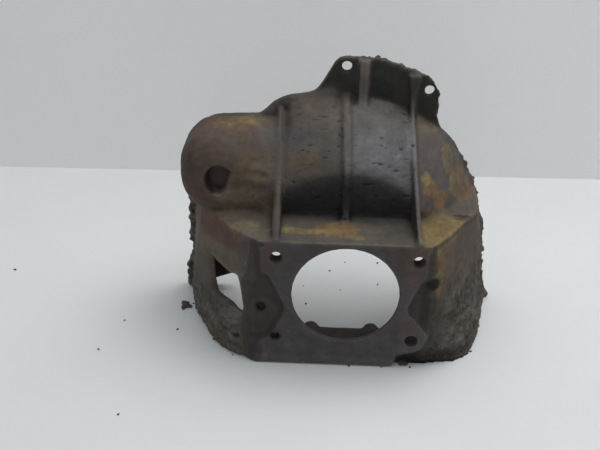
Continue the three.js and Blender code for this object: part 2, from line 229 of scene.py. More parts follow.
def hole_wall(pts, out):
    x, y, z = pts.T
    away_x, away_z = x - HOLE[0], z - HOLE[1]
    radius = np.hypot(away_x, away_z) + 1e-6
    facing = (away_x * out[:, 0] + away_z * out[:, 2]) / radius
    wall = np.clip(step(-0.35, -0.7, facing) + step(76, 80, y), 0, 1)
    return step(27, 23, radius) * band(68.5, 95, y, 1.0) * wall


def zones(pts, out):
    """soft 0..1 maps of the places on the casting, from position and facing"""
    x, y, z = pts.T
    out_x, out_y, out_z = out.T
    radius = np.hypot(x, z)
    arch = np.hypot(x, z / 1.045)                     # radius on the bell
    starter_r = np.hypot(x - STARTER[0], z - STARTER[1])
    plate = step(DEPTH - 15, DEPTH - 11.5, y)         # engine flange and its ears
    return SimpleNamespace(
        pad=(np.abs(y) < 1.2) * (out_y < -0.7) * 1.0,
        front=(y < 9) * (out_y < -0.6) * (z < 67) * 1.0,
        bore=band(0, BORE_R + 3, radius, 0.5) * (y < 8) * (np.abs(out_y) < 0.8),
        engine=(y > DEPTH - 1.5) * (out_y > 0.7) * 1.0,
        rim=(z < FLOOR_Z + 1.0) * 1.0,
        top=step(0.55, 0.85, out_z) * band(60, 74, z, 2) * step(98, 88, y),
        recess=(step(127, 113, arch) * band(-77.5, 76, x, 1.5) * step(66, 71, z)
                * band(52, 84, y, 4)),
        bulge=step(62, 50, starter_r) * step(64, 69, z),
        web=band(-112, -84, x, 8) * step(66, 70, z) * step(0.1, 0.5, -out_y + out_z),
        left=step(-100, -108, x) * step(69, 66, z) * step(2, 6, y),
        right=step(94, 100, x) * step(69, 66, z) * step(2, 6, y),
        bell=step(66, 72, z) * step(-98, -86, x) * step(178, 172, arch),
        plate=plate,
        ear=plate * step(172, 180, arch) * step(135, 150, z),
        inside=step(10, 14, y) * step(0.15, -0.15, outward(pts, out)),
        hole=hole_wall(pts, out))


def flange_web(pts, out):
    """front of the flange beside the block, on the left"""
    x, y, z = pts.T
    return (x > -189) * (x < -90) * (y > DEPTH - 14) * (z < 66) * (out[:, 1] < 0.5)


def crust(pts, out):
    """how thickly old road dirt is caked, 0..1"""
    x, y, z = pts.T
    wander = fbm(pts, 38, 3, seed=40)
    plate = step(DEPTH - 16, DEPTH - 11, y)
    edge = plate * step(0.85, 0.35, np.abs(out[:, 1]))
    dirt = np.maximum.reduce([
        # lower right wall, right wing, lower left wall, left wing, corner under the face
        step(104, 124, x) * step(34, -30, z + 30 * wander - 0.15 * (x - 100)),
        step(140, 165, x) * step(62, 20, z + 18 * wander) * step(60, 110, y),
        step(-114, -130, x) * step(-16, -50, z + 26 * wander),
        step(-176, -190, x) * step(70, 40, z + 14 * wander) * step(120, 150, y),
        step(84, 100, x) * step(-50, -72, z + 10 * wander) * step(1.5, 4, y),
        # edge of the engine flange: top, right and left
        0.8 * edge * step(176, 190, np.hypot(x, z)) * step(-8, 30, x) * step(20, 60, z),
        0.9 * edge * step(110, 150, x),
        0.8 * plate * step(-150, -180, x) * step(30, -10, z)])
    dirt = dirt * (1 - flange_web(pts, out))
    keep = (np.abs(y) > 0.9) & (y < DEPTH - 0.9)
    for hole_x, hole_z in EAR_HOLES:
        keep &= np.hypot(x - hole_x, z - hole_z) > 9.5
    return np.clip(dirt, 0, 1) * keep * step(-0.35, 0.05, outward(pts, out))


# ---------------------------------------------------------------- the casting
# knocks and hollows: centre, radii, depth in mm (below 0 stands out)
DENTS = (
    ((98, 5, 15), (7.5, 7, 7), 8.0), ((101, 7, 24), (3, 5, 3), 2.5),
    ((94, 5, 3), (5, 5, 4), -2.2), ((103, 9, -33), (6, 8, 6.5), 3.0),
    ((131, 72, 70), (10, 3.2, 3.0), 4.0), ((91, 68, 70), (8, 9, 5), 3.0),
    ((-97, 2, 63), (7, 5, 2.6), 2.6), ((96, 1, 62), (4, 4, 5), 2.0),
    ((-98, 74, 113), (3.4, 4, 3.4), 1.6), ((-117, 126, 152), (5, 5, 3), 1.4),
    ((-124, 92, 146), (4, 5, 4), 1.2), ((118, 44, -10), (5, 6, 4), 1.6),
    ((130, 40, -30), (6, 6, 5), 2.0), ((112, 20, -50), (9, 9, 6), -2.0),
    ((140, 60, -6), (3, 5, 9), 1.8))


def welded_copy(source):
    mesh = source.data.copy()
    bm = bmesh.new()
    bm.from_mesh(mesh)
    bmesh.ops.remove_doubles(bm, verts=bm.verts, dist=1e-6)
    bm.to_mesh(mesh)
    bm.free()
    mesh.materials.clear()
    return mesh


def round_corners(mesh):
    """fill the sharp inner corners, but hold the machined places"""
    pts = points(mesh)
    x, y, z = pts.T
    bore = (np.abs(np.hypot(x, z) - BORE_R) < 1.0) & (y < 6)
    window = (x < -106) & (y < 62) & (np.abs(z + 4) < 30)
    hold = np.clip(flat_faces(pts, 0.4) * 0.97 + bore * 0.95 + window * 0.93, 0, 0.97)
    smooth(mesh, level(15), fill=0.55, shave=0.05, hold=hold)
    smooth(mesh, 3, fill=0.4, shave=0.32, hold=hold)


def thicken_left_rib(mesh):
    pts, out = points(mesh), normals(mesh)
    x, y, z = pts.T              # views: changing them changes pts
    out_x = out[:, 0]
    flank = (band(-90, -72, x + RIB_LEAN * y, 1) * step(69, 75, z) * step(122, 96, y)
             * (np.hypot(x, z / 1.045) > 60))
    x += 1.7 * flank * np.clip(2.2 * out_x, -1, 1) * step(0.35, 0.6, np.abs(out_x))
    set_points(mesh, pts)
    rib = band(-94, -72, x, 3) * step(82, 92, z) * step(DEPTH, DEPTH - 16, y)
    smooth(mesh, level(26), fill=0.6, shave=0.34, hold=1 - 0.97 * rib)


def tuck_corners(pts, out):
    """the lower corners tuck in under the face, and the ledges at its foot go flush"""
    x, y, z = pts.T              # views: changing them changes pts
    out_y, out_z = out[:, 1], out[:, 2]
    tuck = (step(-72, -93, z) * step(50, 84, x) * step(72, 22, y)
            * step(0.9, 0.4, (z < FLOOR_Z + 0.5) * 1.0))
    y += 8.0 * tuck * step(0.3, -0.3, out_y)
    sill = (step(-78, -84, z) * step(-98.2, -96.8, z) * step(-104, -100, x)
            * step(72, 60, x) * (y < 10) * step(0.5, -0.2, out_y))
    y -= (y - 0.2) * 0.97 * sill
    toe = (step(-60, -70, z) * step(-120, -103, x) * (x < -99.5) * (y < 15)
           * step(0.2, -0.4, out_y))
    y -= (y - 0.8) * 0.9 * toe
    left_tuck = step(-78, -95, z) * step(-104, -126, x) * step(100, 30, y)
    y += 2.5 * left_tuck * step(0.3, -0.3, out_y)
    z -= 6.5 * blob(pts, (-116, 9, -30), (9, 11, 5)) * (x < -106) * (out_z > 0.2)


def swell(pts, before, out):
    """raise the bell, flange and bulge; masks use the places before the dents"""
    x, y, z = before.T
    new_x, new_y, new_z = pts.T  # views: changing them changes pts
    out_x, out_y, out_z = out.T
    lean = (band(-104, -18, x, 9) * step(168, 176, np.hypot(x, z / 1.02))
            * band(DEPTH - 13.5, DEPTH - 5, y, 2) * step(0.2, -0.5, out_y))
    new_y -= (6.0 + 8.0 * step(-74, -58, x)) * lean * step(194, 180, np.hypot(x, z))
    # the bell rises to meet the flange there, and the flange edge crowns a little
    radius = np.hypot(x, z) + 1e-6
    from_axis = (x * out_x + z * out_z) / radius
    outside = step(0.1, 0.45, from_axis) * step(DEPTH - 5, DEPTH - 14, y)
    rise = (11.0 * np.clip((y - 106) / 46, 0, 1) ** 2 * band(-72, -17, x, 7) * outside
            * step(184, 174, radius))
    new_x += x / radius * rise
    new_z += z / radius * rise
    new_z += 3.2 * blob(pts, (-72, 168, 178), (26, 16, 12))
    # upper right of the starter bulge's rim, then the valley beside the bell
    away_x, away_z = x - HOLE[0], z - HOLE[1]
    hole_r = np.hypot(away_x, away_z) + 1e-6
    angle = np.degrees(np.arctan2(away_z, away_x))
    ring = (4.2 * band(112, 166, angle, 14) * step(34, 42, hole_r) * step(70, 104, y)
            * step(DEPTH - 4, DEPTH - 16, y))
    new_x += away_x / hole_r * ring
    new_z += away_z / hole_r * ring
    push = 3.0 * blob(pts, (-109, 150, 158), (15, 40, 14))
    new_x -= 0.8 * push
    new_z += 0.6 * push
    shoulder = 5.5 * blob(pts, (121, 160, 130), (26, 26, 26)) * step(-0.1, 0.3, from_axis)
    new_x += x / radius * shoulder
    new_z += z / radius * shoulder


def shape_by_hand(mesh):
    pts, out = points(mesh), normals(mesh)
    tuck_corners(pts, out)
    before = pts
    for centre, radii, depth in DENTS:
        pts = pts - out * (depth * blob(pts, centre, radii))[:, None]
    swell(pts, before, out)
    set_points(mesh, pts)
    x, y, z = before.T
    run_in = (band(-66, -20, x, 4) * step(134, 142, y) * step(156, 162, np.hypot(x, z))
              * step(DEPTH - 2, DEPTH - 6, y))
    smooth(mesh, level(30), fill=0.6, shave=0.22, hold=1 - 0.98 * run_in)


def crumb_mesh(spots, out, thick, rng):
    bm = bmesh.new()
    bmesh.ops.create_icosphere(bm, subdivisions=1, radius=1.0)
    ball = np.array([v.co[:] for v in bm.verts])
    tris = np.array([[v.index for v in f.verts] for f in bm.faces])
    bm.free()
    verts, faces = [], []
    for k, spot in enumerate(spots):
        size = (float(np.clip(rng.lognormal(0.55, 0.5), 0.9, 4.2))
                * (0.7 + 0.5 * float(thick[k])) * (0.8 if spot[0] > 150 else 1.0))
        centre = spot + out[k] * size * rng.uniform(-0.6, 0.1)
        centre[1] = min(centre[1], DEPTH - size * 0.8)
        centre[2] = max(centre[2], FLOOR_Z + size * 0.9)
        turned = np.linalg.qr(rng.normal(size=(3, 3)))[0]
        shape = (ball * rng.uniform(0.75, 1.15, (len(ball), 1))
                 * np.array([1.25, rng.uniform(0.6, 1.0), rng.uniform(0.45, 0.9)]))
        verts.append(shape @ turned.T * size + centre)
        faces.append(tris + len(ball) * k)
    mesh = bpy.data.meshes.new("crumbs")
    verts = (np.concatenate(verts) + SHIFT) * MM
    mesh.from_pydata(verts.tolist(), [], np.concatenate(faces).tolist())
    return mesh


def add_crumbs(mesh):
    """crumbs of caked dirt, half sunk in the surface"""
    pts, out = points(mesh), normals(mesh)
    x, y, z = pts.T
    dirt = crust(pts, out)
    rng = np.random.RandomState(7)
    clump = step(-0.25, 0.45, fbm(pts, 22, 2, seed=90))
    weight = (dirt ** 1.5) * (0.25 + clump)
    weight = weight * (0.35 + 1.4 * step(DEPTH - 18, DEPTH - 8, y))
    caked = rng.choice(len(pts), level(950), replace=False, p=weight / weight.sum())
    # a thin scatter along the edge of the engine flange
    edge = (step(DEPTH - 13, DEPTH - 9, y) * step(0.9, 0.5, np.abs(out[:, 1]))
            * ((x > -8) * (z > 20) + 0.8 * (x < -186) * (z < 66)))
    for hole_x, hole_z in EAR_HOLES:
        edge = edge * (np.hypot(x - hole_x, z - hole_z) > 10.5)
    fuzz = rng.choice(len(pts), level(420), replace=False, p=edge / edge.sum())
    pick = np.concatenate([caked, fuzz])
    dirt[fuzz] = 0.35
    crumbs = crumb_mesh(pts[pick], out[pick], dirt[pick], rng)
    bm = bmesh.new()
    bm.from_mesh(mesh)
    bm.from_mesh(crumbs)
    bm.to_mesh(mesh)
    bm.free()
    bpy.data.meshes.remove(crumbs)


def add_relief(mesh):
    """cast skin everywhere, lumps where the dirt sits, pock marks and scratches"""
    pts, out = points(mesh), normals(mesh)
    zone = zones(pts, out)
    dirt = crust(pts, out)
    x = pts[:, 0]
    machined = np.clip(zone.pad + zone.engine + zone.bore + zone.rim, 0, 1)
    skin = (0.5 * fbm(pts, 30, 3, seed=3) + (0.34 + 0.30 * zone.bell * band(2, 77, x, 4))
            * fbm(pts, 9.0, 4, seed=11, gain=0.6))
    drawn = pts * LONG
    lumps = (2.6 * fbm(drawn, 20, 3, seed=21)
             + 3.4 * (np.abs(fbm(drawn, 12, 2, seed=31)) - 0.2)
             + 1.3 * (np.abs(fbm(drawn, 6.5, 2, seed=37)) - 0.2))
    relief = (skin * (1 - 0.93 * machined) * (1 - 0.5 * dirt)
              + dirt * (lumps + 0.9 * step(0.1, 0.9, dirt)))
    pits = np.maximum(0, fbm(pts, 5.0, 2, seed=51) - 0.40) * 1.6
    # short scratches lying across the bell
    nicks = np.maximum(0, fbm(pts * np.array([0.30, 1.0, 1.2]), 4.4, 2, seed=55) - 0.35) * 5.0
    relief -= (pits + nicks * zone.bell * band(-78, 77, x, 3)) * (1 - machined)
    relief = np.where(machined > 0.5, 0.03 * fbm(pts, 9, 2, seed=77), relief)
    pts = pts + out * relief[:, None]
    pts[:, 1] = np.clip(pts[:, 1], -0.05, DEPTH)
    pts[:, 2] = np.maximum(pts[:, 2], FLOOR_Z)
    set_points(mesh, pts)


def build_casting():
    obj = new_object("housing_casting", welded_copy(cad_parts["bell_housing"]))
    voxel(obj, level(1.6))
    round_corners(obj.data)
    thicken_left_rib(obj.data)
    shape_by_hand(obj.data)
    add_crumbs(obj.data)
    voxel(obj, level(1.45))
    mesh = obj.data
    smooth(mesh, 4, fill=0.5, shave=0.34, hold=flat_faces(points(mesh), 0.5) * 0.9)
    add_relief(mesh)
    mesh.polygons.foreach_set("use_smooth", np.ones(len(mesh.polygons), bool))
    mesh.update()
    return obj


# ---------------------------------------------------------------- paint
# colours are sRGB 0..255
OCHRE, STRAW, RUST = (160, 120, 62), (166, 148, 92), (118, 78, 64)
# how a stain's edge fades: blob level of the edge, half width of the fade
LOOSE, CRISP, SOFT = (0.34, 0.26), (0.34, 0.13), (0.25, 0.25)
EVEN, WIDE = (0.25, 0.2), (0.22, 0.2)

# colour, centre, radii, strength, fade (LOOSE if left out)
STAINS = (
    # block top
    (STRAW, (-56, 28, 68), (34, 7, 14), 0.85, CRISP),
    (STRAW, (-74, 31, 68), (12, 8, 10), 0.5),
    (OCHRE, (-10, 34, 68), (24, 15, 12), 0.8, CRISP),
    (STRAW, (-16, 30, 68), (16, 6, 8), 0.45, CRISP),
    (STRAW, (6, 15, 68), (13, 6, 8), 0.75, CRISP),
    ((146, 125, 75), (108, 40, 68), (30, 34, 10), 1.05, WIDE),
    (OCHRE, (104, 44, 68), (20, 26, 10), 0.6),
    (STRAW, (100, 28, 68), (16, 16, 8), 0.6),
    (STRAW, (121, 60, 68), (16, 8, 8), 0.65),
    (STRAW, (86, 8, 68), (8, 5, 6), 0.6),
    # right shoulder of the bell
    (OCHRE, (96, 90, 96), (10, 12, 13), 0.9, CRISP),
    (STRAW, (91, 94, 106), (6, 8, 7), 0.85, CRISP),
    (OCHRE, (108, 90, 82), (18, 16, 10), 0.85, CRISP),
    (STRAW, (121, 138, 114), (7, 18, 20), 0.55, CRISP),
    (STRAW, (128, 120, 88), (6, 14, 20), 0.6),
    (OCHRE, (142, 134, 84), (14, 24, 26), 0.55, CRISP),
    (STRAW, (100, 156, 154), (22, 20, 14), 0.4),
    (OCHRE, (152, 150, 72), (14, 20, 14), 0.4),
    # starter bulge and the valley beside it
    ((112, 86, 76), (-176, 90, 120), (26, 50, 40), 0.7, SOFT),
    ((122, 96, 80), (-148, 118, 148), (34, 26, 12), 0.9, EVEN),
    ((104, 92, 66), (-118, 84, 116), (24, 24, 22), 0.7, SOFT),
    ((108, 98, 70), (-128, 76, 88), (26, 16, 16), 0.6, SOFT),
    ((104, 90, 68), (-62, 84, 118), (24, 22, 14), 0.6, SOFT),
    ((98, 98, 104), (-66, 122, 148), (18, 20, 12), 0.7, SOFT),
    (OCHRE, (-140, 138, 152), (26, 22, 10), 0.6),
    (STRAW, (-126, 140, 153), (22, 20, 8), 0.42),
    (RUST, (-165, 128, 150), (16, 26, 10), 0.3),
    (RUST, (-168, 68, 84), (14, 18, 16), 0.6),
    (RUST, (-128, 80, 140), (22, 20, 10), 0.3),
    (OCHRE, (-112, 76, 122), (20, 20, 16), 0.16),
    ((64, 56, 52), (-98, 74, 113), (6, 8, 5.5), 0.6),
    ((70, 62, 58), (-117, 126, 152), (7, 9, 5), 0.6),
    # painted shade at the foot of the left rib, where the web meets the block top
    ((66, 58, 53), (-99, 69, 72), (11, 8, 6), 0.3),
    ((100, 100, 102), (-96, 116, 146), (10, 16, 12), 0.6),
    (STRAW, (-116, 34, 68), (18, 14, 6), 0.35),
    (STRAW, (-143, 66, 68), (20, 14, 6), 0.2),
    # bell
    (OCHRE, (-54, 92, 130), (16, 16, 9), 0.25),
    (STRAW, (-83, 80, 118), (5, 22, 18), 0.35),
    (OCHRE, (-40, 154, 172), (24, 14, 10), 0.22),
    (RUST, (-62, 140, 150), (18, 22, 16), 0.2),
    # right side wall, and the edges of the transmission face
    ((140, 118, 78), (106, 16, 34), (12, 18, 30), 0.95, EVEN),
    (OCHRE, (103, 10, 40), (9, 12, 16), 0.5),
    (STRAW, (105, 12, 22), (6, 8, 9), 0.7),
    (STRAW, (101, 8, 56), (5, 6, 5), 0.6),
    ((112, 90, 82), (116, 28, 42), (10, 16, 24), 0.5),
    (RUST, (86, 0, 40), (18, 6, 30), 0.3),
    (RUST, (-96, 2, 58), (14, 8, 14), 0.4),
    # painted highlight on the small boss at the right edge of the face
    ((110, 100, 92), (94, 5, 2), (7, 6, 5), 0.8),
    # top of the flange
    ((66, 64, 56), (75, 158, 206), (10, 14, 22), 1.2),
    ((62, 61, 56), (60, 165, 215), (30, 10, 12), 0.8))


def linear(colour):
    part = np.array(colour) / 255.0
    return np.where(part <= 0.04045, part / 12.92, ((part + 0.055) / 1.055) ** 2.4)


class Coat:
    """colour and gloss of every vertex, built up in layers"""

    def __init__(self, mesh):
        self.pts, self.out = pts, out = points(mesh), normals(mesh)
        self.zone = zones(pts, out)
        self.dirt = crust(pts, out)
        self.near, self.wide = hollows(mesh)
        self.clouds = clouds = fbm(pts, 46, 4, seed=60)
        self.patches = patches = fbm(pts * LONG, 13, 4, seed=64)
        self.specks = specks = fbm(pts * LONG, 5.2, 3, seed=68)
        drift_x, drift_z = fbm(pts, 30, 3, seed=71), fbm(pts, 33, 3, seed=74)
        # places pushed about by noise, so that layers end in wavy and ragged edges
        self.wavy = pts + np.c_[9 * clouds + 4 * patches, 9 * drift_x + 4 * specks,
                                9 * drift_z + 4 * patches]
        self.ragged = pts + np.c_[3 * patches + 2.5 * specks, 3 * drift_x + 2 * specks,
                                  3 * drift_z + 2.5 * patches]
        self.speckle = 0.60 + 0.8 * patches + 0.30 * fbm(pts, 9, 3, seed=101)
        self.mottle = np.clip(0.82 + 0.75 * specks + 0.45 * patches, 0.2, 1.3)
        self.colour = np.tile(linear(IRON), (len(pts), 1))
        self.gloss = np.full(len(pts), 0.28)

    def lay(self, colour, amount, shine=None):
        amount = np.clip(amount, 0, 1)
        cover = amount[:, None]
        self.colour = self.colour * (1 - cover) + linear(colour) * cover
        if shine is not None:
            self.gloss = self.gloss * (1 - amount) + shine * amount

    def stain(self, colour, centre, radii, strength, fade=LOOSE):
        edge, width = fade
        spot = blob(self.ragged * 0.6 + self.wavy * 0.4, centre, radii)
        spot = step(edge - width, edge + width, spot * (0.66 + 0.55 * self.speckle))
        self.lay(colour, 0.72 * strength * self.mottle * spot)

    def brighten(self, factor):
        self.colour = self.colour * factor[:, None]


def paint_bell(coat):
    x, y, z = coat.pts.T
    zone, lay, wavy_x = coat.zone, coat.lay, coat.wavy[:, 0]
    bell, high_z = zone.bell, z + 12 * coat.clouds
    # left part brown, right part bare oily grey
    lay((98, 88, 79), bell * step(-6, -60, wavy_x), 0.3)
    lay((104, 99, 95), bell * band(-76, -4, wavy_x, 10)
        * step(-0.2, 0.4, coat.clouds + 0.3 * coat.patches) * 0.8, 0.4)
    lay((105, 105, 107), bell * band(2, 77, wavy_x, 6) * step(176, 146, high_z), 0.62)
    lay((116, 112, 108), bell * band(2, 77, wavy_x, 6) * step(146, 176, high_z), 0.5)
    lay((118, 108, 98), bell * band(-74, -2, wavy_x, 6) * step(150, 170, high_z), 0.35)
    # painted light: the rib between the ears is painted pale where light falls on it
    lay((132, 126, 121), zone.ear * band(6, 21, x, 1.5) * (y < DEPTH - 9.5), 0.3)
    lay((104, 96, 91), bell * step(79, 84, x), 0.35)
    # starter bulge and its web
    lay((96, 83, 72), np.maximum(zone.bulge, zone.web) * 0.95, 0.32)
    lay((82, 75, 73), zone.bulge * step(-176, -190, wavy_x), 0.3)


def paint_block(coat):
    x, y, z = coat.pts.T
    zone, lay, clouds, patches = coat.zone, coat.lay, coat.clouds, coat.patches
    left = zone.left
    lay((104, 97, 85), zone.top, 0.32)
    # transmission face
    lay((86, 78, 74), zone.front, 0.3)
    lay((92, 88, 87), zone.pad, 0.42)
    brown = step(0.0, 0.5, clouds + 0.35 * patches + 0.3 * step(20, 60, z))
    lay((88, 76, 72), zone.pad * brown * 0.8, 0.4)
    grey = step(0.1, 0.5, -clouds + 0.4 * patches + 0.25 * step(-30, -75, z))
    lay((98, 95, 95), zone.pad * grey * 0.8, 0.45)
    # left side: reddish strip under the top edge, dusty slope below it
    slope_z = coat.ragged[:, 2] + 0.05 * (x + 140)
    lay((94, 84, 75), left * step(-60, -20, z), 0.28)
    lay((105, 77, 64), left * band(39, 69, slope_z, 3), 0.3)
    lay((108, 100, 82), left * band(14, 39, slope_z, 4), 0.25)
    lay((108, 97, 86), left * step(0, -0.5, coat.out[:, 1]) * band(-130, -112, x, 2)
        * step(30, 18, y) * 0.7, 0.25)
    lay((98, 89, 90), left * step(-124, -117, x) * step(18, 28, z) * 0.75, 0.3)
    lay((104, 90, 79), zone.right * step(-30, 10, z), 0.3)


def paint_ribs_and_foot(coat):
    x, y, z = coat.pts.T
    out_x, out_y, out_z = coat.out.T
    lay, rib_x = coat.lay, x + RIB_LEAN * y
    lay((98, 99, 100), coat.zone.bell * band(-8.5, 3.5, rib_x, 1.2) * step(0.3, -0.1, out_x)
        * step(-0.6, -0.2, out_x) * band(104, 186, z, 6) * (coat.wide < -0.05) * 0.8, 0.35)
    lay((104, 95, 92), band(-6.5, 5.5, rib_x + 81, 1.5) * step(66.5, 69, z)
        * step(160, 150, y) * step(0.95, 0.5, np.abs(out_x)) * 0.75, 0.35)
    # lower left of the transmission face, and a pale streak on its left edge
    lay((90, 84, 82), step(-58, -68, z) * step(-128, -108, x) * (x < -96)
        * step(16, 9, y) * 0.7, 0.3)
    lay((74, 69, 67), step(-62, -72, z) * band(-112, -95, x, 3) * (y < 14)
        * step(0.2, 0.7, -out_y) * 0.7, 0.3)
    lay((126, 118, 108), band(-106, -86, x, 1.5)
        * band(-11.6, -9.0, z - 0.12 * (x + 96), 0.6) * (y < 6) * 0.6, 0.3)


def paint_dirt_and_shade(coat):
    x, y, z = coat.pts.T
    zone, lay, dirt = coat.zone, coat.lay, coat.dirt
    drawn = coat.pts * np.array([0.85, 0.5, 1.0])
    ashy = fbm(drawn, 21, 4, seed=82, gain=0.55)
    sandy = fbm(drawn, 18, 4, seed=88, gain=0.55)
    small = fbm(coat.pts, 6.5, 3, seed=93)
    lay((94, 89, 83), dirt * 0.85, 0.03)
    lay((130, 126, 121), dirt * step(0.02, 0.30, ashy + 0.3 * small) * 0.7, 0.02)
    lay((120, 105, 84), dirt * step(0.06, 0.32, sandy + 0.25 * small) * 0.7, 0.02)
    dark = step(0.05, 0.32, -ashy - 0.3 * small + 0.1 * sandy)
    lay((54, 51, 47), dirt * dark * 0.75, 0.05)
    lay((84, 82, 70), dirt * step(0.1, 0.5, -sandy) * step(-100, -120, x) * 0.6, 0.05)
    for spot in (((64, 62, 60), (-146, 62, -34), (20, 36, 20), 0.8),
                 ((60, 58, 55), (-176, 130, -20), (16, 40, 22), 0.6)):
        coat.stain(*spot, fade=(0.25, 0.22))
    # painted shade in a slit on the right shoulder, and a painted shaded line along the top
    # edge of the block's right wall below it
    cut = step(0.25, 0.6, blob(coat.ragged, (135, 78, 68), (11, 3.4, 4.5)))
    lay((46, 40, 38), cut * 0.85, 0.1)
    lay((70, 60, 55), zone.right * band(61.0, 66.5, z, 0.8) * step(168, 150, x) * 0.55, 0.2)
    edge_on = zone.plate * step(0.75, 0.2, np.abs(coat.out[:, 1])) * (1 - zone.engine)
    lay((74, 71, 67), edge_on * 0.55, 0.04)


def paint_sheltered(coat):
    """painted shade in the sheltered places, with soot, oil and dust among it, and painted
    light on the starter hole's walls
    """
    x, y, z = coat.pts.T
    zone, lay, out_y = coat.zone, coat.lay, coat.out[:, 1]
    radius, not_engine = np.hypot(x, z), 1 - zone.engine
    # painted shade with soot: the back wall of the bell between the ribs, under the drum's
    # overhang, is painted near black
    lay((31, 30, 30), zone.recess * (0.94 + 0.1 * coat.patches), 0.35)
    lay((62, 62, 54), flange_web(coat.pts, coat.out) * not_engine * 0.9, 0.15)
    # painted shade with dirt in the pockets beside the ears, darkest in the middle and beside
    # the right gusset; dust over part of it
    pocket = zone.ear * step(0.35, 0.75, -out_y) * step(DEPTH - 15, DEPTH - 12, y)
    lay((44, 43, 41), pocket * 0.85, 0.2)
    lay((34, 34, 33), pocket * band(22, 68, x, 3) * 0.9, 0.2)
    dusty = fbm(coat.pts, 24, 3, seed=120) + 0.35 * step(196, 216, radius) + 0.1
    lay((62, 61, 52), pocket * step(0.0, 0.5, dusty) * 0.75, 0.1)
    lay((40, 39, 38), pocket * step(80, 84, x) * 0.6, 0.2)
    # painted shadow of the right rib, falling to its left on the block top
    shade = zone.top * step(-10, 10, x - 62 + 0.9 * (y - 8)) * step(76, 74, x)
    lay((78, 74, 72), shade * 0.6, 0.35)
    # painted light: the starter hole's walls are painted near white to lift them out of their
    # shade
    lay((188, 164, 155), zone.hole * 0.97, 0.05)
    lay((98, 85, 80), zone.hole * step(0.5, 0.8, -out_y) * 0.97, 0.05)
    lay((92, 86, 80), band(-112, -24, x, 8) * zone.plate * step(170, 176, radius)
        * step(196, 188, radius) * not_engine * 0.85, 0.3)
    # painted shade on the walls inside the bell
    lay((69, 66, 62), zone.inside * (1 - zone.bore) * 0.85, 0.3)
    lay((66, 62, 60), zone.front * (1 - zone.pad) * 0.75, 0.2)
    # painted shade low under the lower right of the face, near the floor
    lay((54, 52, 51), step(-70, -84, z) * step(54, 78, x) * step(40, 20, y)
        * (1 - zone.pad) * 0.8, 0.1)
    # the four holes in the transmission face; painted shade darkens the walls of the lower
    # two, near black deep in the lower left one
    ring = np.zeros(len(x))
    for hole_x in (-79.5, 79.5):
        for hole_z in (47.3, -58.8):
            ring = np.maximum(ring, step(9.5, 7.0, np.hypot(x - hole_x, z - hole_z)))
    in_hole = (y < 30) * step(0.1, 0.6, y) * 0.9
    lay((96, 84, 78), ring * (z > 0) * in_hole, 0.1)
    lay((70, 62, 58), ring * (z < 0) * in_hole, 0.1)
    lay((30, 27, 26), ring * (z < 0) * (x < 0) * band(3, 32, y, 2) * 0.9, 0.05)
    # painted shade in the hollows in the right and left edges of that face
    coat.stain((38, 33, 33), (99, 6, 15), (8, 10, 7), 2.2, (0.3, 0.15))
    lay((52, 48, 47), step(84, 90, x) * step(99, 96, x) * band(-50, 14, z, 4)
        * step(0.5, 2.5, y) * step(12, 8, y) * 0.8, 0.2)
    coat.stain((30, 27, 26), (-96, 4, -20), (6.2, 7, 6.2), 2.4, (0.3, 0.12))


def shade_hollows_and_wear(coat):
    """painted shade in the hollows, less where dirt is caked; crests are rubbed lighter"""
    x, y, z = coat.pts.T
    exposed = 1 - 0.6 * coat.dirt
    even = 1 - 0.9 * band(-100, -66, x, 4) * step(66, 74, z)
    even = even * (1 - 0.9 * band(-72, -12, x, 6) * band(138, 174, y, 4)
                   * step(160, 166, np.hypot(x, z)))
    even = even * (1 - 0.85 * band(-104, -60, x, 3) * band(-72, 14, z, 3) * (y < 12))
    # painted shade in the wide hollows, then in the narrow ones
    coat.brighten(1 - 0.50 * even * step(0.10, 0.9, coat.wide))
    coat.brighten(1 - 0.26 * exposed * step(0.05, 0.30, coat.near))
    worn = step(0.12, 0.6, -coat.wide) * exposed
    coat.brighten(1 + 0.22 * worn * even)
    coat.gloss = np.clip(coat.gloss + 0.12 * worn, 0, 1)
    oily = step(0.3, 0.75, blob(coat.ragged, (57, 96, 132), (9, 8, 6)))
    coat.gloss = np.clip(coat.gloss + 0.5 * coat.zone.bell * band(2, 77, x, 4) * oily, 0, 1)


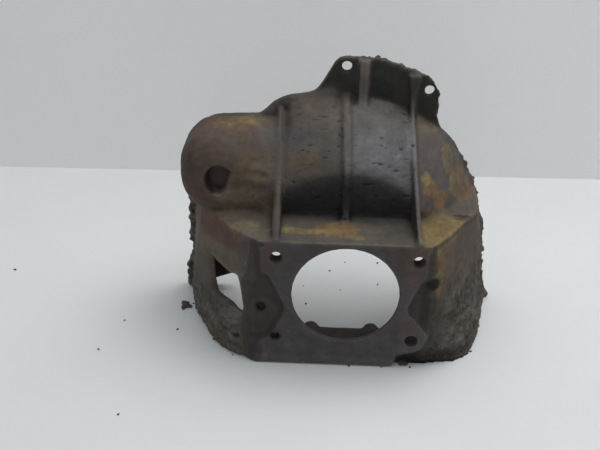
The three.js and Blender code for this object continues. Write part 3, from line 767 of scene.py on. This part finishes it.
def balance(coat):
    """lighten and darken whole areas, then mottle everything"""
    x, y, z = coat.pts.T
    zone, bell, bulge, front = coat.zone, coat.zone.bell, coat.zone.bulge, coat.zone.front
    above, not_hole = step(66, 72, z), 1 - zone.hole
    web = band(-150, -88, x, 8) * above * not_hole
    coat.brighten(1 - 0.34 * band(-90, -72, x, 2) * above
                  * step(0.8, 0.2, np.abs(coat.out[:, 0])))
    coat.brighten(1 + 0.32 * web * band(64, 100, z, 8))
    coat.brighten(1 + 0.14 * zone.left + 0.30 * zone.recess + 0.10 * front * step(-76, -86, z))
    trim = 1 - bulge * (0.14 * step(128, 146, z) + 0.07 + 0.10 * step(-168, -186, x))
    # painted light: the bottom strip of the face is lightened as if lit from the floor; its
    # right part a little lighter
    trim += front * (0.10 * step(55, 75, x) + 0.22 * step(-82, -88, z))
    # painted light: the rib between the ears lightened again
    trim += (0.42 * band(7, 22, x, 1.0) * band(138, DEPTH - 11, y, 2)
             * step(180, 186, np.hypot(x, z)))
    trim += 0.24 * bell * band(70, 82, x + RIB_LEAN * y, 1.5) * step(110, 150, z)
    trim += 0.32 * web * band(64, 98, z, 6) - 0.05 * zone.top * step(80, 100, x)
    trim -= bell * band(-78, -6, x, 4) * (0.06 * step(146, 160, z) + 0.11)
    trim += 0.12 * zone.left * band(8, 46, z, 4)
    trim += 0.12 * zone.pad * step(60, 76, x) * step(30, 0, z)
    coat.brighten(trim)
    across = fbm(coat.pts * np.array([0.6, 1, 1]), 10, 3, seed=95)
    blotch = 1 + 0.20 * coat.patches + 0.17 * coat.specks + 0.14 * coat.clouds + 0.16 * across
    coat.brighten(np.clip(blotch, 0.6, 1.5) * SHADE)


def add_colours(mesh, name, channels):
    rgba = np.ones((len(channels), 4), np.float32)
    rgba[:, :3] = channels
    layer = mesh.attributes.new(name, "FLOAT_COLOR", "POINT")
    layer.data.foreach_set("color", rgba.ravel())


def paint(mesh):
    """tint: linear base colour; info: gloss, dirt and machining"""
    coat = Coat(mesh)
    paint_bell(coat)
    paint_block(coat)
    for spot in STAINS:
        coat.stain(*spot)
    paint_ribs_and_foot(coat)
    paint_dirt_and_shade(coat)
    paint_sheltered(coat)
    shade_hollows_and_wear(coat)
    balance(coat)
    zone = coat.zone
    machined = np.clip(zone.pad + zone.engine + zone.bore, 0, 1)
    add_colours(mesh, "tint", np.clip(coat.colour, 0.002, 1))
    add_colours(mesh, "info", np.c_[np.clip(coat.gloss, 0, 1), coat.dirt, machined])


# ---------------------------------------------------------------- materials
class Shader:
    """a material and short ways to add nodes to it"""

    def __init__(self, name):
        self.material = bpy.data.materials.new(name)
        self.material.use_nodes = True
        self.tree = self.material.node_tree
        self.tree.nodes.clear()
        self.output = self.node("OutputMaterial")
        self.bsdf = self.node("BsdfPrincipled")
        self.feed(self.output, Surface=self.bsdf.outputs["BSDF"])

    def wire(self, socket, value):
        if isinstance(value, bpy.types.NodeSocket):
            self.tree.links.new(value, socket)
        else:
            socket.default_value = value

    def feed(self, node, **inputs):
        """inputs by name, with _ for a space"""
        for name, value in inputs.items():
            self.wire(node.inputs[name.replace("_", " ")], value)

    def node(self, kind, **inputs):
        node = self.tree.nodes.new("ShaderNode" + kind)
        self.feed(node, **inputs)
        return node

    def coord(self):
        return self.node("TexCoord").outputs["Object"]

    def noise(self, coord, scale, detail, rough):
        return self.node("TexNoise", Scale=scale, Detail=detail, Roughness=rough,
                         Vector=coord).outputs["Fac"]

    def math(self, operation, first, second):
        node = self.node("Math")
        node.operation = operation
        self.wire(node.inputs[0], first)
        self.wire(node.inputs[1], second)
        return node.outputs[0]

    def ramp(self, value, *stops):
        """each stop is a position and a grey level or colour"""
        node = self.node("ValToRGB", Fac=value)
        elements = node.color_ramp.elements
        while len(elements) > 1:
            elements.remove(elements[-1])
        elements[0].position = stops[0][0]
        for k, (position, colour) in enumerate(stops):
            element = elements.new(position) if k else elements[0]
            element.color = colour if isinstance(colour, tuple) else (colour,) * 3 + (1.0,)
        return node.outputs["Color"]

    def mix(self, blend, amount, first, second):
        node = self.node("Mix")
        node.data_type = "RGBA"
        node.blend_type = blend
        for k, value in ((0, amount), (6, first), (7, second)):
            self.wire(node.inputs[k], value)
        return node.outputs[2]

    def bump(self, height, strength, distance):
        node = self.node("Bump", Strength=strength, Distance=distance, Height=height)
        self.feed(self.bsdf, Normal=node.outputs["Normal"])


def iron_material():
    shader = Shader("old_cast_iron")
    math_, noise, ramp, mix = shader.math, shader.noise, shader.ramp, shader.mix
    straight = shader.coord()
    coord = shader.node("Mapping", Scale=(1.0, 0.7, 1.0), Vector=straight).outputs["Vector"]
    tint, info = shader.node("Attribute"), shader.node("Attribute")
    tint.attribute_name, info.attribute_name = "tint", "info"
    gloss, dirt, machined = shader.node("SeparateColor", Color=info.outputs["Color"]).outputs

    grain = noise(coord, scale=420.0, detail=5.0, rough=0.65)      # about 2 mm
    sand = noise(coord, scale=1300.0, detail=3.0, rough=0.7)       # casting sand grain
    broad = noise(coord, scale=70.0, detail=4.0, rough=0.55)
    # grain and broad clouds over the painted tint
    grains = ramp(grain, (0.25, 0.70), (0.5, 1.0), (0.78, 1.30))
    base = mix("MULTIPLY", 0.75, tint.outputs["Color"], grains)
    base = mix("MULTIPLY", 0.8, base, ramp(broad, (0.3, 0.82), (0.7, 1.16)))
    # tiny rust flecks
    fleck = ramp(noise(coord, scale=260.0, detail=2.0, rough=0.5), (0.62, 0.0), (0.70, 1.0))
    base = mix("MIX", math_("MULTIPLY", fleck, 0.16), base, (0.115, 0.062, 0.032, 1))
    # chalky crumbs in the dirt
    crumb = noise(coord, scale=330.0, detail=3.0, rough=0.7)
    chalk = math_("MULTIPLY", ramp(crumb, (0.54, 0.0), (0.66, 1.0)), dirt)
    base = mix("MIX", math_("MULTIPLY", chalk, 0.25), base, (0.17, 0.15, 0.13, 1))

    # roughness from gloss, broken by grain
    rough = math_("SUBTRACT", 0.88, math_("MULTIPLY", gloss, 0.55))
    rough = math_("ADD", rough, math_("MULTIPLY", math_("SUBTRACT", grain, 0.5), 0.35))
    rough = math_("MAXIMUM", math_("MINIMUM", rough, 1.0), 0.25)
    shader.feed(shader.bsdf, Base_Color=base, Roughness=rough,
                Metallic=math_("MULTIPLY", gloss, 0.35), Specular_IOR_Level=0.42)

    # machining marks on the faces, sand grain elsewhere
    wave = shader.node("TexWave", Scale=260.0, Distortion=1.2, Detail=2.0, Vector=straight)
    wave.wave_type = "RINGS"
    wave.rings_direction = "Y"
    cut = math_("MULTIPLY", math_("MULTIPLY", wave.outputs["Fac"], 0.25), machined)
    unmachined = math_("SUBTRACT", 1.0, math_("MULTIPLY", machined, 0.75))
    height = math_("ADD", math_("MULTIPLY", grain, 0.7), math_("MULTIPLY", sand, 0.45))
    height = math_("ADD", math_("MULTIPLY", height, unmachined), cut)
    lumps = math_("MULTIPLY", math_("MULTIPLY", crumb, dirt), 0.9)
    shader.bump(math_("ADD", height, lumps), strength=0.55, distance=0.0009)
    return shader.material


def steel_material(name, dark, light, rust, roughness):
    shader = Shader(name)
    coord = shader.coord()
    grain = shader.noise(coord, scale=300.0, detail=4.0, rough=0.6)
    broad = shader.noise(coord, scale=90.0, detail=3.0, rough=0.6)
    colour = shader.ramp(grain, (0.3, dark), (0.7, light))
    rusty = shader.math("MULTIPLY", shader.ramp(broad, (0.5, 0.0), (0.68, 1.0)), 0.75)
    rough = shader.math("ADD", shader.math("MULTIPLY", grain, 0.25), roughness)
    rough = shader.math("ADD", rough, shader.math("MULTIPLY", rusty, 0.35))
    shader.feed(shader.bsdf, Base_Color=shader.mix("MIX", rusty, colour, rust),
                Metallic=0.85, Roughness=rough)
    shader.bump(grain, strength=0.3, distance=0.0004)
    return shader.material


def pale_shader(name, colour, variation, roughness):
    shader = Shader(name)
    noise = shader.noise(shader.coord(), scale=3.0, detail=3.0, rough=0.5)
    dark = tuple(v * (1 - variation) for v in colour) + (1.0,)
    light = tuple(min(1, v * (1 + variation)) for v in colour) + (1.0,)
    shader.feed(shader.bsdf, Base_Color=shader.ramp(noise, (0.3, dark), (0.7, light)),
                Roughness=roughness, Specular_IOR_Level=0.25)
    return shader


# ---------------------------------------------------------------- housing and steel parts
housing = build_casting()
paint(housing.data)
housing.data.materials.append(iron_material())
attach(housing, "root")
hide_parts("bell_housing")

PLAIN_RUST = (0.09, 0.045, 0.022, 1)


def finish_steel(material, *names):
    for name in names:
        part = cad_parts[name]
        part.data.materials.clear()
        part.data.materials.append(material)
        weld = part.modifiers.new("weld", "WELD")
        weld.merge_threshold = 0.00001
        bevel = part.modifiers.new("bevel", "BEVEL")
        bevel.width = 0.00035
        bevel.segments = 2
        bevel.limit_method = "ANGLE"
        bevel.angle_limit = math.radians(32)


finish_steel(
    steel_material("dowel_steel", dark=(0.16, 0.155, 0.15, 1), light=(0.30, 0.29, 0.28, 1),
                   rust=PLAIN_RUST, roughness=0.32),
    "ring_dowel_left", "ring_dowel_right")
finish_steel(
    steel_material("stud_steel", dark=(0.012, 0.0115, 0.011, 1),
                   light=(0.040, 0.038, 0.036, 1), rust=(0.030, 0.018, 0.011, 1),
                   roughness=0.50),
    "fork_pivot_ball_stud")
finish_steel(
    steel_material("washer_steel", dark=(0.08, 0.078, 0.075, 1),
                   light=(0.19, 0.185, 0.18, 1), rust=PLAIN_RUST, roughness=0.36),
    "fork_pivot_spring_washer")

# ---------------------------------------------------------------- floor, grit, wall
GROUND_Z = FLOOR_Z - 0.2
# crumbs of dirt that have dropped off: x, y, size
GRIT = (
    (-201, 114, 4), (-206, 106, 1.5), (-195, 119, 1.5), (82, 5, 1.6), (-245, -100, 1.6),
    (-456, 187, 1.4), (-294, 13, 1.2), (-276, 77, 1.2), (-131, 13, 1.0), (52, 182, 1.6),
    (-43, 129, 1.8), (-14, 215, 1.0), (55, 242, 1.1), (9, 241, 0.9), (-50, 173, 1.0),
    (-205, 60, 1.0), (46, -1, 1.2), (10, 0, 1.0), (73, 8, 3.2), (159, 37, 1.2),
    (1, 166, 0.8))
WALL_MIDDLE = (-66, 547)       # x, y
WALL_TURN = 0.03065953         # radians about z
WALL_REACH = 3000              # half the wall's length, and the height of its top


def plane(name, corners):
    mesh = bpy.data.meshes.new(name)
    mesh.from_pydata([place(*corner) for corner in corners], [], [(0, 1, 2, 3)])
    return new_object(name, mesh)


def build_floor():
    floor = plane("floor", [(x, y, GROUND_Z) for x, y in (
        (-4000, -3000), (4000, -3000), (4000, 3000), (-4000, 3000))])
    floor.data.materials.append(pale_shader(
        "floor_white", colour=(0.685, 0.70, 0.70), variation=0.02, roughness=0.55).material)


def build_grit():
    rng = np.random.RandomState(21)
    bm = bmesh.new()
    for x, y, size in GRIT:
        for k in range(1 if size < 2.5 else 4):    # a large size is a heap of four
            radius = 1.5 * size * rng.uniform(0.5, 1.0)
            offset = rng.normal(size=2) * size * 0.7
            spot = place(x + offset[0], y + offset[1], GROUND_Z + 0.4 * radius)
            made = bmesh.ops.create_icosphere(
                bm, subdivisions=2, radius=radius * MM,
                matrix=Matrix.Translation(spot) @ Matrix.Rotation(rng.uniform(0, 3.1), 4, "Z")
                @ Matrix.Diagonal((1.3, 0.8, 0.55, 1)))
            for v in made["verts"]:
                v.co += Vector(rng.normal(size=3)) * radius * 0.13 * MM
    mesh = bpy.data.meshes.new("floor_grit")
    bm.to_mesh(mesh)
    bm.free()
    grit = new_object("floor_grit", mesh)
    mesh.materials.append(pale_shader(
        "dry_dirt", colour=(0.075, 0.068, 0.06), variation=0.25, roughness=0.95).material)


def build_wall():
    """backdrop that is seen from the front only and casts no shadow"""
    x, y = WALL_MIDDLE
    run_x, run_y = WALL_REACH * math.cos(WALL_TURN), WALL_REACH * math.sin(WALL_TURN)
    wall = plane("backdrop", [
        (x - run_x, y - run_y, GROUND_Z), (x + run_x, y + run_y, GROUND_Z),
        (x + run_x, y + run_y, WALL_REACH), (x - run_x, y - run_y, WALL_REACH)])
    shader = pale_shader("wall_white", colour=(0.885, 0.885, 0.885), variation=0.012,
                         roughness=0.6)
    clear = shader.node("BsdfTransparent")
    mixed = shader.node("MixShader")
    behind = shader.node("NewGeometry").outputs["Backfacing"]
    for k, value in enumerate((behind, shader.bsdf.outputs[0], clear.outputs[0])):
        shader.wire(mixed.inputs[k], value)
    shader.feed(shader.output, Surface=mixed.outputs[0])
    wall.data.materials.append(shader.material)
    wall.visible_shadow = False


build_floor()
build_grit()
build_wall()


# ---------------------------------------------------------------- light
def area(name, size, energy, location, aim, colour):
    """size in metres, location and aim in mm"""
    light = bpy.data.lights.new(name, "AREA")
    light.shape = "RECTANGLE"
    light.size, light.size_y = size
    light.energy = energy
    light.color = colour
    obj = new_object(name, light)
    obj.location = place(*location)
    obj.rotation_euler = (place(*aim) - place(*location)).to_track_quat("-Z", "Y").to_euler()


area("key", size=(1.7, 1.4), energy=21.5, location=(760, 420, 1850), aim=(0, 100, 0),
     colour=(1.0, 0.995, 0.98))
area("overhead", size=(2.6, 1.8), energy=15.5, location=(-100, 0, 2000), aim=(0, 150, 0),
     colour=(0.98, 0.99, 1.0))
area("front_fill", size=(2.5, 1.6), energy=7.5, location=(-400, -2200, 1400),
     aim=(0, 400, 100), colour=(0.97, 0.985, 1.0))
world = bpy.data.worlds.new("soft_room")
world.use_nodes = True
sky = world.node_tree.nodes["Background"].inputs
sky["Color"].default_value = (0.93, 0.96, 1.0, 1)
sky["Strength"].default_value = 0.275
bpy.context.scene.world = world
bpy.context.scene.view_settings.view_transform = "Standard"

# ---------------------------------------------------------------- camera
CAMERA_AT = (-39.07, -761.10, 500.03)
# the camera's own axes: to its right, up, and the way it looks
RIGHT = Vector((0.99922823, 0.03158551, 0.02335764))
UP = Vector((-0.03553354, 0.47317743, 0.88025024))
FORWARD = Vector((-0.01675084, 0.88040074, -0.47393453))

lens = bpy.data.cameras.new("camera")
lens.sensor_width = 36.0
lens.lens = 48.0
camera = new_object("camera", lens)
turned = Matrix((RIGHT, UP, -FORWARD)).transposed().to_4x4()
camera.matrix_world = Matrix.Translation(place(*CAMERA_AT)) @ turned
bpy.context.scene.camera = camera
